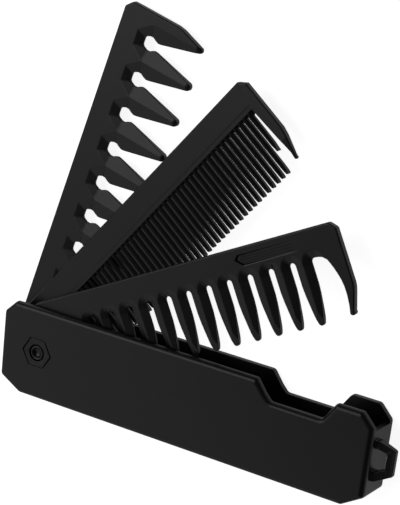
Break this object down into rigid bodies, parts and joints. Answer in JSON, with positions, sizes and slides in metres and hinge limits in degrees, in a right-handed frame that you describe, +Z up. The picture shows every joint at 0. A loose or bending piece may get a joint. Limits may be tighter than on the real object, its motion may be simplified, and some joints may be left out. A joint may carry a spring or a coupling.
{
  "type": "folding comb",
  "caption": "Folding pocket comb: a slotted case with a lanyard lug holds a wide-toothed, a fine-toothed and a rake blade that swing out on one pivot.",
  "frame": {"origin": "middle of the case's rear outer face, which the comb lies on", "axes": "+X along the case to the end with the lanyard lug, +Y to the open edge that the blades swing out of, +Z up through the stack of blades to the front plate"},
  "size_m": [0.1353, 0.1282, 0.0121],
  "materials": {
    "black_plastic": "moulded, satin black",
    "black_nut": "moulded, satin black",
    "dark_pin": "smooth black"
  },
  "bodies": {
    "case": {"case": "black_plastic", "pivot_nut": "black_nut", "pivot_pin": "dark_pin"},
    "wide_blade": {"comb_wide": "black_plastic"},
    "fine_blade": {"comb_fine": "black_plastic"},
    "rake_blade": {"comb_rake": "black_plastic"}
  },
  "joints": [
    {"name": "wide_swing", "type": "hinge", "parent": "case", "child": "wide_blade", "pos_m": [-0.0517, 0, 0.00605], "axis": [0, 0, 1], "range_deg": [-27.55, 152.45]},
    {"name": "fine_swing", "type": "hinge", "parent": "case", "child": "fine_blade", "pos_m": [-0.0517, 0, 0.00605], "axis": [0, 0, 1], "range_deg": [-52.1, 127.9]},
    {"name": "rake_swing", "type": "hinge", "parent": "case", "child": "rake_blade", "pos_m": [-0.0517, 0, 0.00605], "axis": [0, 0, 1], "range_deg": [-74.57, 105.43]}
  ]
}
